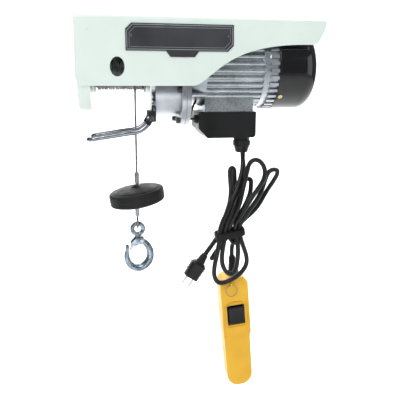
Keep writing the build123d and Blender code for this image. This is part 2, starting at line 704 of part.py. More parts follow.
def latch_pin():
    px, pz = LATCH_PIVOT
    pin = rod_y(LATCH_PIN_R, ROPE_Y - 9, ROPE_Y + 9, px, pz)
    for y in (ROPE_Y - 9.8, ROPE_Y + 8.5):
        pin += rod_y(2.6, y, y + 1.3, px, pz)
    return pin


# ---- pendant, drawn upright with its top at the origin, then hung with its tilt ----
def hang(shape):
    return Pos(*PENDANT_TOP) * Rot(0, PENDANT_TILT, 0) * shape


def pendant_face(inset=0.0):
    """Pendant outline in (X, Z): square shoulders, a slightly slimmer grip and a round foot."""
    w = PENDANT_HALF_WIDTH - inset
    low = -PENDANT_LENGTH + inset
    right_side = [(w - 8, -inset), (w, -10), (w, -104), (w - 1.5, -116), (w - 2.5, low)]
    left_side = [(-x, z) for x, z in reversed(right_side)]
    face = make_face(Polyline(*right_side, *left_side, close=True))
    face = fillet(face.vertices().group_by(Axis.Y)[0], PENDANT_FOOT_R - inset)
    return fillet(face.vertices().group_by(Axis.Y)[-2:], 3.0)


def pendant_front():
    shell = prism_y(pendant_face(), -18, -0.1)
    shell -= prism_y(pendant_face(2.5), -15.5, 1)
    shell -= block(-40, 40, -20, -18 + GRIP_DROP, -PENDANT_LENGTH - 5, -106)
    shell += prism_y(pendant_face() & Pos(0, -157) * Rectangle(90, 104), -18 + GRIP_DROP, -11.5)
    panel = Pos(0, SWITCH_Z + 2) * RectangleRounded(44, 48, 9)
    shell -= prism_y(panel, -19, -17)
    shell += prism_y(Pos(0, SWITCH_Z) * Rectangle(40, 40), -17, -14)
    opening = Rectangle(2 * ROCKER_HALF_WIDTH + 3, 2 * SWITCH_HALF + 3)
    shell -= prism_y(Pos(0, SWITCH_Z) * opening, -20, -10)
    x, y, z = RING_LUG
    shell += block(x - 1.5, x + 1.5, y - 2.8, -17, z - 3, z + 3)
    shell -= rod_x(1.6, x - 3, x + 3, y, z)
    return hang(shell)


def pendant_back():
    shell = prism_y(pendant_face(), 0, 15)
    shell -= prism_y(pendant_face(2.5), -1, 12.5)
    for z in PENDANT_SCREW_Z:
        shell += rod_y(4, 0, 13, 0, z)
        shell -= rod_y(1.5, 5, 16, 0, z)
    return hang(shell)


def pendant_screws():
    screws = []
    for z in PENDANT_SCREW_Z:
        screws.append(hang(Pos(0, 15, z) * Rot(-90, 0, 0) * cap_screw(3, 1.6, 1.45, 9)))
    return Compound(children=screws)


def switch_body():
    body = block(-14, 14, -9, 8, SWITCH_Z - 15, SWITCH_Z + 15)
    for z in (SWITCH_Z - 10, SWITCH_Z, SWITCH_Z + 10):
        body += block(-8, -4, 8, 11, z - 1, z + 1)
    for x in (-14, 10):
        body += block(x, x + 4, -12.3, -9, SWITCH_Z - 2.5, SWITCH_Z + 2.5)
    body -= rod_x(TRUNNION_R + RUNNING, -15, 15, ROCKER_PIVOT_Y, SWITCH_Z)
    return hang(body)


def rocker():
    """Two-way rocker with a shallow valley between its raised ends, on a trunnion along X."""
    half = SWITCH_HALF - 0.4
    profile = make_face(
        Curve() + [
            Polyline((-12.9, -13.5), (-19.5, -half), (-21.5, -half + 2)),
            ThreePointArc((-21.5, -half + 2), (-19.6, 0), (-21.5, half - 2)),
            Polyline((-21.5, half - 2), (-19.5, half), (-12.9, 13.5), (-12.9, -13.5)),
        ]
    )
    body = prism_x(Pos(0, SWITCH_Z) * profile, -ROCKER_HALF_WIDTH, ROCKER_HALF_WIDTH)
    body += block(-9, 9, -13, ROCKER_PIVOT_Y, SWITCH_Z - 3, SWITCH_Z + 3)
    body += rod_x(TRUNNION_R, -13.6, 13.6, ROCKER_PIVOT_Y, SWITCH_Z)
    return hang(body)


def pendant_strain_relief():
    boot = rod_z(9.5, 0, 6, RELIEF_X, 0)
    boot += Pos(RELIEF_X, 0, 6 + (RELIEF_TOP - 6) / 2) * Cone(8.5, 5.5, RELIEF_TOP - 6)
    for i in range(4):
        boot -= Pos(RELIEF_X, 0, 11 + 5 * i) * Torus(9.2 - 0.5 * i, 1.2)
    return hang(boot)


def split_ring():
    x, y, z = RING_LUG
    ring = Pos(x, y, z - RING_CENTRE_R) * Rot(90, 0, 0) * Torus(RING_CENTRE_R, RING_WIRE_R)
    return hang(ring)


# ---- cords ----
def cord(points, radius):
    """Cord tube: straight runs joined by tangent arcs, each as large as its runs allow."""
    vectors = [Vector(*p) for p in points]
    bends = []
    for before, at, after in zip(vectors, vectors[1:], vectors[2:]):
        turn = (at - before).get_angle(after - at)
        shorter = min((at - before).length, (after - at).length)
        bends.append(0.45 * shorter / math.tan(math.radians(turn) / 2))
    path = FilletPolyline(*points, radius=bends)
    start = Plane(origin=points[0], z_dir=vectors[1] - vectors[0])
    tube = sweep(start * Circle(radius), path)
    ratio = tube.volume / (math.pi * radius ** 2 * path.length)
    print(f"cord: length {path.length:.0f}, bends {[round(b) for b in bends]}, volume ratio {ratio:.4f}")
    return tube


def relief_top():
    """Top of the pendant's strain relief, where its cable goes in."""
    return Vector(*PENDANT_TOP) + Vector(RELIEF_X, 0, RELIEF_TOP).rotate(Axis.Y, PENDANT_TILT)


def pendant_cable():
    top = relief_top()
    into = Vector(0, 0, 1).rotate(Axis.Y, PENDANT_TILT)
    end = [Vector(57, -42, -359), Vector(57, -35, -375), top + into * 15, top]
    return Compound(children=[cord(CABLE_TOP, CORD_R), cord(end, CORD_R)])


def power_cord():
    back = Vector(0, 0, 9).rotate(Axis.Y, -PLUG_TURN)
    end = [Vector(29, -47, -352), Vector(24, -47, -364), Vector(16, -48.5, -374), PLUG_TOP + back, PLUG_TOP]
    return Compound(children=[cord(SUPPLY_TOP, CORD_R), cord(end, CORD_R)])


def cord_hank():
    """Outer shape of the gathered cords: fanned loops above a flat tie, and longer loops below it."""
    upper = Spline(
        (24, -356), (36, -326), (40, -290), (42, -256), (52, -241), (66, -250), (80, -233), (93, -227),
        (108, -238), (124, -242), (134, -254), (128, -276), (106, -305), (74, -345),
    )
    upper_face = make_face(Curve() + [upper, Line((74, -345), (24, -356))])
    lower = Spline(
        (24, -356), (18, -382), (14, -412), (16, -437), (29, -448), (46, -441), (66, -434), (80, -413),
        (79, -390), (71, -368), (74, -345),
    )
    lower_face = make_face(Curve() + [lower, Line((74, -345), (24, -356))])
    waist = make_face(Polyline((24, -356), (74, -345), (71, -366), (22, -374), close=True))
    hank = prism_y(upper_face, HANK_FRONT_Y, HANK_BACK_Y)
    lower = prism_y(lower_face, LOWER_FRONT_Y, LOWER_BACK_Y)
    return hank.fuse(lower, prism_y(waist, HANK_FRONT_Y, HANK_BACK_Y))


def hank_tie():
    """Flat strap round the waist of the hank."""
    depth = HANK_BACK_Y - LOWER_FRONT_Y
    outer = RectangleRounded(58, depth + 4, 8)
    inner = RectangleRounded(54, depth, 6)
    band = extrude(outer - inner, 9, both=True)
    return Pos(48, (LOWER_FRONT_Y + HANK_BACK_Y) / 2, -358) * Rot(0, -14, 0) * band


def along_plug(shape):
    """Carry a shape drawn along -Z from the origin to the plug's place and direction."""
    return Pos(*PLUG_TOP) * Rot(0, -PLUG_TURN, 0) * shape


def plug_body():
    boot = Pos(0, 0, -8) * Cone(7.5, 5.2, 16)
    body = extrude(Pos(0, 0, -16) * RectangleRounded(26, 19, 7), -30)
    body = chamfer(body.faces().sort_by(Axis.Z)[-1].edges(), 4)
    return along_plug(boot + body)


def plug_blades():
    blades = []
    for x in (-6.35, 6.35):
        blades.append(along_plug(block(x - 0.75, x + 0.75, -3.2, 3.2, -62, -46)))
    return Compound(children=blades)


def limit_switch_cable():
    """Thin lead from the side gland up into the front end shield."""
    route = (
        (BOX_X0 - 6.5, GLAND_Y, SIDE_GLAND_Z), (BOX_X0 - 13, GLAND_Y, SIDE_GLAND_Z), (-18.5, -29, -151),
        (-15, -30, -141), (-9.5, -27, -131),
    )
    return cord(route, THIN_CORD_R)


def limit_switch():
    """Plunger switch on the gear case wall, behind the lever's bracket."""
    body = block(CASE_X0 - 6.5, CASE_X0, 2, 22, -152, -139)
    body += rod_z(1.6, -155, -152, CASE_X0 - 3.2, 7)
    return body


NODES = (
    frame_shell, drum_end_plate, drum_inner_plate, name_plate, name_plate_rivets,
    drum, wound_rope, drum_shaft, shaft_bushes, rope_clamp_screw,
    output_gear, lay_shaft, lay_gear,
    gear_case, spacer_ring, case_gasket, flange_bolts, front_end_shield,
    motor_housing, stator_core, stator_windings, rotor_core, rotor_shaft, rotor_bearings,
    rear_end_shield, brake_pad, brake_disc, fan, fan_cover, cover_screws,
    terminal_box, box_lid, capacitor, terminal_block, cable_glands,
    limit_lever, lever_bracket, lever_pin, limit_switch, limit_switch_cable,
    hoist_rope, rope_crimps, rope_loop, stop_disc, hook, hook_latch, latch_pin,
    pendant_front, pendant_back, pendant_screws, switch_body, rocker, pendant_strain_relief, split_ring,
    pendant_cable, power_cord, cord_hank, hank_tie, plug_body, plug_blades,
)


def main():
    os.makedirs(PARTS, exist_ok=True)
    for make in NODES:
        save(make.__name__, make())


if __name__ == "__main__":
    main()
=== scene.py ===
import bpy
import bmesh
import json
import math
from mathutils import Matrix, Vector


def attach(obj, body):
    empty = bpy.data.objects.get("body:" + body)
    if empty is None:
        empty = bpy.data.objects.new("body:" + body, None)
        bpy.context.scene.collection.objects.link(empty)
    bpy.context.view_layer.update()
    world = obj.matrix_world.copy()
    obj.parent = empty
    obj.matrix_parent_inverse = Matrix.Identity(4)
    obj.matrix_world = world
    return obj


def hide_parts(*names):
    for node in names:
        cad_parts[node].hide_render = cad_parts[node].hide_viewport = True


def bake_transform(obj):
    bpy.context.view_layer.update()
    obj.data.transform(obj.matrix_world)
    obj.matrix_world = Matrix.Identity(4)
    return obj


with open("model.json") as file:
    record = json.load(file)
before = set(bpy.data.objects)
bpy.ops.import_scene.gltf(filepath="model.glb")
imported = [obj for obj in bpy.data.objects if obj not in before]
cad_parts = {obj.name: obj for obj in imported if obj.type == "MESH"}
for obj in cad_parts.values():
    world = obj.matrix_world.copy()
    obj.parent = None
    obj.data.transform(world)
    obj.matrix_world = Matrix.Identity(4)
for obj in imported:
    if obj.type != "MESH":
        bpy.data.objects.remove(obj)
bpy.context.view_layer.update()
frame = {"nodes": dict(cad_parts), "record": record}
NODES = frame["nodes"]

MM = 0.001


def metres(points):
    """Points written in millimetres, as vectors in metres."""
    return [Vector(p) * MM for p in points]


# ---- camera: left of the middle, level with the drive, looking right and a little down ----
def make_camera():
    data = bpy.data.cameras.new("camera")
    data.lens = 40.5
    data.sensor_width = 36.0
    data.shift_y = -0.127
    data.clip_start = 0.05
    data.clip_end = 20.0
    camera = bpy.data.objects.new("camera", data)
    camera.location = (-0.1362, -0.7729, -0.1062)
    camera.rotation_euler = (math.radians(82.0), 0.0, math.radians(-10.2))
    bpy.context.scene.collection.objects.link(camera)
    bpy.context.scene.camera = camera


# ---- places and sizes: millimetres, except those multiplied by MM ----
CORD_R = 4.0 * MM
STRANDS = 6
STRAND_R = 0.62 * MM
STRAND_REACH = 1.12 * MM
LAY_LENGTH = 14.0 * MM
AXIS_Z = -76.0
ROPE_X, ROPE_Y = -110.0, -39.65
UPPER_CRIMP_TOP_Z = -247.0
UPPER_CRIMP_FOOT_Z = -264.0
LOWER_CRIMP_TOP_Z = -303.0
WINDING_START_X, WINDING_END_X = -171.2, -95.8
WINDING_PITCH = 3.62
WINDING_REACH = 35.6
UNDER_LAYER_X, UNDER_LAYER_LENGTH = -172.5, 78.0
UNDER_LAYER_R = 33.4
PLATE_FRONT_Y = -71.2
PLATE_OUTLINE = [(-115, -12), (44, -12), (44, -44), (35, -53), (-124, -53), (-124, -21)]
PLATE_CENTRE = Vector((-40.0, -32.5))
DISC_CENTRE = Vector((ROPE_X, ROPE_Y, -286.0))
DISC_TILT = math.radians(-8.0)
COVER_LIP_CENTRE = Vector((124.2, 0.0, AXIS_Z))
COVER_LIP_R = 70.0
LEVER_ROD_Y = {"front": -62.0, "back": -10.0}
GLAND_X, GLAND_Y = 71.0, -26.0
GLAND_EXIT_Z = -219.0
TIE_CENTRE = Vector((44.9, -51.9, -355.2))
TIE_TILT = math.radians(-10.0)
TIE_HALF_WIDTH, TIE_HALF_DEPTH, TIE_CORNER_R = 24, 12.1, 7
TIE_PROFILE = ((0.0, -6.0), (1.5, -5.4), (1.9, -3.0), (1.9, 3.0), (1.5, 5.4), (0.0, 6.0))
PENDANT_TOP = Vector((54.5, -28.0, -440.0))
PENDANT_PLACE = Matrix.Translation(PENDANT_TOP) @ Matrix.Rotation(math.radians(-4.5), 4, "Y")
ROCKER_DROP = 69.0
ARCH_HALF_WIDTH, ARCH_RISE = 21.6, 17.5
ARCH_FOOT_Z, ARCH_SPRING_Z = -104.0, -62.0
SPLIT_RING_CENTRE = Vector((-6.0, -21.5, -20.4))
SPLIT_RING_R = 10.4
RELIEF_TOP = Vector((55.3, -28.0, -405.8))
RELIEF_UP = Vector((-0.0785, 0.0, 0.9969))
PLUG_TOP = Vector((3.0, -50.0, -391.0))
PLUG_TURN = math.radians(34.0)
PLUG_UP = Vector((math.sin(PLUG_TURN), 0.0, math.cos(PLUG_TURN)))
PLUG_HALF_WIDTH = 13.0

# ---- routes in millimetres ----
PENDANT_ROUTE = [
    # out of the gland and down through the tie
    (72.5, -30.2, GLAND_EXIT_Z), (72.5, -30.2, -230), (71.5, -34, -241), (68.5, -40, -253),
    (63, -46, -266),
    (55, -53, -282), (46, -57, -298), (39, -58, -316), (31, -58, -332), (26, -58, -348),
    # the big lower loop, across the front of the pendant
    (25, -61, -365), (22, -62, -382), (19, -61, -398), (17, -58, -413), (17, -56, -427), (22, -55, -440),
    (32, -55, -443), (45, -55, -439), (57, -55, -433), (68, -55, -424), (75, -55, -412), (75, -55, -398),
    (70, -55, -383), (64, -56, -367), (61, -57, -352), (61, -56, -340),
    # the loop at the upper right
    (71, -53, -328), (82, -49, -315), (94, -46, -301), (103, -44, -286), (108, -44, -270), (112, -46, -255),
    (119, -47, -248), (130, -45, -249), (132, -42, -257), (125, -38, -272), (116, -36, -286),
    (108, -36, -300),
    (99, -38, -314), (86, -42, -325), (73, -45, -334), (63, -47, -343),
    # a short fold under the tie
    (65, -46, -358), (63, -46, -371), (55, -47, -376), (48, -47, -369), (45, -47, -358), (45, -47, -348),
    # the small inner loop
    (50, -46, -334), (59, -41, -320), (66, -35, -304), (72, -30, -290), (75, -28, -279), (77, -28, -267),
    (86, -37, -265), (86, -37, -276), (85, -38, -288), (78, -42, -303), (69, -45, -318), (61, -46, -331),
    (55, -47, -345),
    # down to the pendant
    (57, -42, -359), (57, -35, -375), tuple(RELIEF_TOP + RELIEF_UP * 15), tuple(RELIEF_TOP),
]

SUPPLY_ROUTE = [
    # out of the gland and down through the tie
    (74.2, -22, GLAND_EXIT_Z), (74.2, -22, -230), (75.5, -25.5, -241), (73.5, -31, -252), (70, -38, -268),
    (64, -46, -284), (55, -54, -299), (47, -57, -317), (40, -58, -332), (35, -58, -347),
    # the inner lower loop
    (34, -60, -364), (31, -61, -381), (29, -62, -396), (31, -63, -411), (40, -64, -423), (50, -64, -423),
    (55, -63, -412), (57, -62, -397), (58, -61, -381), (56, -58, -362), (52, -56, -342),
    # the arch at the top
    (61, -58, -326), (71, -57, -311), (81, -55, -296), (92, -54, -281), (102, -54, -267), (106, -54, -252),
    (103, -53, -240), (96, -52, -231), (86, -51, -229), (78, -50, -236), (75, -50, -249), (71, -52, -264),
    (66, -56, -280), (62, -58, -298), (56, -58, -315), (48, -57, -331), (43, -56, -345),
    # a narrow fold at the lower left
    (41, -53, -360), (33, -51, -373), (23, -51, -385), (14, -52, -398), (16, -40, -403), (25, -41, -392),
    (32, -42, -375), (36, -45, -362), (37, -47, -351),
    # the left loop, seen edge on
    (42, -46, -335), (49, -46, -320), (56, -43, -302), (58, -38, -282), (57, -34, -263), (57, -33, -246),
    (46, -46, -243), (46, -47, -260), (48, -46, -281), (47, -46, -300), (41, -46, -319), (35, -46, -336),
    (29, -47, -352),
    # out to the plug
    (24, -47, -364), (16, -48.5, -374), tuple(PLUG_TOP + PLUG_UP * 9), tuple(PLUG_TOP),
]

ROPE_EYE_ROUTE = [
    (ROPE_X, ROPE_Y - 2.2, -319), (ROPE_X, ROPE_Y - 6.4, -325), (ROPE_X, ROPE_Y - 7, -333),
    (ROPE_X, ROPE_Y - 4.5, -338.5), (ROPE_X, ROPE_Y, -339.6), (ROPE_X, ROPE_Y + 4.5, -338.5),
    (ROPE_X, ROPE_Y + 7, -333), (ROPE_X, ROPE_Y + 6.4, -325), (ROPE_X, ROPE_Y + 2.2, -319),
]


# ---- making pieces ----
def link(piece, body, replaced=()):
    """Put a piece in the scene, on its body and the CAD nodes it stands for."""
    if piece.name not in bpy.context.scene.collection.objects:
        bpy.context.scene.collection.objects.link(piece)
    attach(piece, body)
    if replaced:
        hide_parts(*replaced)
    return piece


def mesh_object(name, verts, faces, material, smooth=True):
    mesh = bpy.data.meshes.new(name)
    mesh.from_pydata([tuple(v) for v in verts], [], faces)
    mesh.update()
    for polygon in mesh.polygons:
        polygon.use_smooth = smooth
    mesh.materials.append(material)
    return bpy.data.objects.new(name, mesh)


def nurbs_curve(name, points, radius, resolution=8):
    """Curve on one open NURBS spline of order 3 that ends at its first and last points."""
    data = bpy.data.curves.new(name, "CURVE")
    data.dimensions = "3D"
    data.resolution_u = resolution
    spline = data.splines.new("NURBS")
    spline.points.add(len(points) - 1)
    for point, place in zip(spline.points, points):
        point.co = (place.x, place.y, place.z, 1.0)
    spline.order_u = 3
    spline.use_endpoint_u = True
    data.bevel_depth = radius
    data.bevel_resolution = 5
    data.use_fill_caps = radius > 0
    return bpy.data.objects.new(name, data)


def centre_line(points, resolution=8):
    """Points along the NURBS curve of a route, in order."""
    curve = nurbs_curve("line", points, 0.0, resolution)
    mesh = bpy.data.meshes.new_from_object(curve)
    line = [v.co.copy() for v in mesh.vertices]
    bpy.data.meshes.remove(mesh)
    bpy.data.objects.remove(curve)
    return line


def frames_along(line, closed=False):
    """A direction and two crosswise directions at each point, carried along without twisting."""
    count = len(line)
    tangents = []
    for i in range(count):
        if closed:
            step = line[(i + 1) % count] - line[i - 1]
        else:
            step = line[min(i + 1, count - 1)] - line[max(i - 1, 0)]
        tangents.append(step.normalized())
    side = tangents[0].orthogonal().normalized()
    frames = []
    for tangent in tangents:
        side = (side - tangent * side.dot(tangent)).normalized()
        frames.append((tangent, side, tangent.cross(side)))
    return frames


def tube_mesh(line, radius, sides=10, verts=None, faces=None):
    """Add a round tube along a line of points to a list of vertices and faces."""
    verts = [] if verts is None else verts
    faces = [] if faces is None else faces
    first = len(verts)
    for place, (_, side, up) in zip(line, frames_along(line)):
        for k in range(sides):
            turn = 2 * math.pi * k / sides
            verts.append(place + (side * math.cos(turn) + up * math.sin(turn)) * radius)
    for i in range(len(line) - 1):
        for k in range(sides):
            a = first + i * sides + k
            b = first + i * sides + (k + 1) % sides
            faces.append((a, b, b + sides, a + sides))
    last = first + (len(line) - 1) * sides
    faces.append(tuple(first + k for k in reversed(range(sides))))
    faces.append(tuple(last + k for k in range(sides)))
    return verts, faces


def stranded_rope(name, line, material, sides=6):
    """Six strands twisted round a line of points."""
    frames = frames_along(line)
    along = [0.0]
    for a, b in zip(line, line[1:]):
        along.append(along[-1] + (b - a).length)
    verts, faces = [], []
    for strand in range(STRANDS):
        path = []
        for place, (_, side, up), distance in zip(line, frames, along):
            turn = 2 * math.pi * (strand / STRANDS + distance / LAY_LENGTH)
            path.append(place + (side * math.cos(turn) + up * math.sin(turn)) * STRAND_REACH)
        tube_mesh(path, STRAND_R, sides, verts, faces)
    return mesh_object(name, verts, faces, material)


def even_line(start, end, count):
    return [start.lerp(end, i / (count - 1)) for i in range(count)]


def box_mesh(name, low, high, material, bevel, place=None):
    """Box with rounded edges, for small moulded details."""
    mesh = bpy.data.meshes.new(name)
    shape = bmesh.new()
    bmesh.ops.create_cube(shape, size=1.0)
    size = Vector(high) - Vector(low)
    middle = (Vector(high) + Vector(low)) / 2
    for vertex in shape.verts:
        vertex.co = Vector((vertex.co.x * size.x, vertex.co.y * size.y, vertex.co.z * size.z)) + middle
    bmesh.ops.bevel(shape, geom=list(shape.edges), offset=bevel, segments=3, profile=0.5, affect="EDGES")
    if place:
        bmesh.ops.transform(shape, matrix=place, verts=shape.verts)
    bmesh.ops.scale(shape, vec=(MM, MM, MM), verts=shape.verts)
    shape.to_mesh(mesh)
    shape.free()
    for polygon in mesh.polygons:
        polygon.use_smooth = True
    mesh.materials.append(material)
    return bpy.data.objects.new(name, mesh)


def ring_points(centre, across, up, radius, count):
    """Points round a circle given its centre and two directions."""
    points = []
    for i in range(count):
        turn = 2 * math.pi * i / count
        points.append(centre + (across * math.cos(turn) + up * math.sin(turn)) * radius)
    return points


def hoop(name, line, radius, material, sides=10):
    """Closed round tube along a closed line of points."""
    frames = frames_along(line, closed=True)
    verts, faces = [], []
    for place, (_, side, up) in zip(line, frames):
        for k in range(sides):
            turn = 2 * math.pi * k / sides
            verts.append(place + (side * math.cos(turn) + up * math.sin(turn)) * radius)
    count = len(line)
    for i in range(count):
        for k in range(sides):
            a, b = i * sides + k, i * sides + (k + 1) % sides
            c = ((i + 1) % count) * sides
            faces.append((a, b, c + (k + 1) % sides, c + k))
    return mesh_object(name, verts, faces, material)


# ---- materials ----
def new_material(name):
    material = bpy.data.materials.new(name)
    material.use_nodes = True
    tree = material.node_tree
    shader = next(n for n in tree.nodes if n.type == "BSDF_PRINCIPLED")
    return material, tree, shader


def noise(tree, scale, detail=4.0, stretch=(1.0, 1.0, 1.0), distortion=0.0):
    """Noise in object coordinates, drawn out along the axes whose stretch is small."""
    coordinates = tree.nodes.new("ShaderNodeTexCoord")
    mapping = tree.nodes.new("ShaderNodeMapping")
    mapping.inputs["Scale"].default_value = stretch
    texture = tree.nodes.new("ShaderNodeTexNoise")
    texture.inputs["Scale"].default_value = scale
    texture.inputs["Detail"].default_value = detail
    texture.inputs["Distortion"].default_value = distortion
    tree.links.new(coordinates.outputs["Object"], mapping.inputs["Vector"])
    tree.links.new(mapping.outputs["Vector"], texture.inputs["Vector"])
    return texture.outputs["Fac"]


def ramp(tree, value, low_colour, high_colour, low=0.35, high=0.65):
    node = tree.nodes.new("ShaderNodeValToRGB")
    node.color_ramp.elements[0].position = low
    node.color_ramp.elements[1].position = high
    node.color_ramp.elements[0].color = (*low_colour, 1.0)
    node.color_ramp.elements[1].color = (*high_colour, 1.0)
    tree.links.new(value, node.inputs["Fac"])
    return node.outputs["Color"]


def spread(tree, value, low, high):
    """Map a noise's middle range to a range of values."""
    node = tree.nodes.new("ShaderNodeMapRange")
    node.inputs["From Min"].default_value = 0.3
    node.inputs["From Max"].default_value = 0.7
    node.inputs["To Min"].default_value = low
    node.inputs["To Max"].default_value = high
    tree.links.new(value, node.inputs["Value"])
    return node.outputs["Result"]


def bump(tree, shader, value, distance_mm, strength=1.0, before=None):
    node = tree.nodes.new("ShaderNodeBump")
    node.inputs["Distance"].default_value = distance_mm * MM
    node.inputs["Strength"].default_value = strength
    tree.links.new(value, node.inputs["Height"])
    if before:
        tree.links.new(before, node.inputs["Normal"])
    tree.links.new(node.outputs["Normal"], shader.inputs["Normal"])
    return node.outputs["Normal"]


def painted(name, low, high, rough, grain_scale, grain_mm, coat=0.0):
    """Paint: slow colour drift, orange peel and a varying sheen."""
    material, tree, shader = new_material(name)
    drift = noise(tree, 9.0, 5.0)
    tree.links.new(ramp(tree, drift, low, high), shader.inputs["Base Color"])
    sheen = noise(tree, 35.0, 6.0)
    tree.links.new(spread(tree, sheen, rough * 0.8, rough * 1.25), shader.inputs["Roughness"])
    bump(tree, shader, noise(tree, grain_scale, 3.0), grain_mm, 0.5)
    shader.inputs["Coat Weight"].default_value = coat
    shader.inputs["Coat Roughness"].default_value = 0.08
    return material


def metal(name, low, high, rough, grain_scale, grain_mm, stretch=(1.0, 1.0, 1.0), patch_scale=25.0):
    """Bare or plated metal: cloudy tone, uneven roughness and a fine grain that may run one way."""
    material, tree, shader = new_material(name)
    shader.inputs["Metallic"].default_value = 1.0
    patches = noise(tree, patch_scale, 6.0, distortion=0.6)
    tree.links.new(ramp(tree, patches, low, high), shader.inputs["Base Color"])
    grain = noise(tree, grain_scale, 5.0, stretch)
    tree.links.new(spread(tree, grain, rough * 0.7, rough * 1.3), shader.inputs["Roughness"])
    bump(tree, shader, grain, grain_mm, 0.6)
    return material


def moulded(name, low, high, rough, grain_scale, grain_mm, specular=0.5):
    """Moulded plastic or rubber: faint marbling, spark-eroded texture, and soft scuffs in the sheen."""
    material, tree, shader = new_material(name)
    marbling = noise(tree, 18.0, 7.0, distortion=0.4)
    tree.links.new(ramp(tree, marbling, low, high), shader.inputs["Base Color"])
    scuffs = noise(tree, 60.0, 8.0, (1.0, 1.0, 0.35))
    tree.links.new(spread(tree, scuffs, rough * 0.75, rough * 1.2), shader.inputs["Roughness"])
    shader.inputs["Specular IOR Level"].default_value = specular
    texture = noise(tree, grain_scale, 2.0)
    first = bump(tree, shader, scuffs, grain_mm * 1.5, 0.3)
    bump(tree, shader, texture, grain_mm, 0.6, first)
    return material


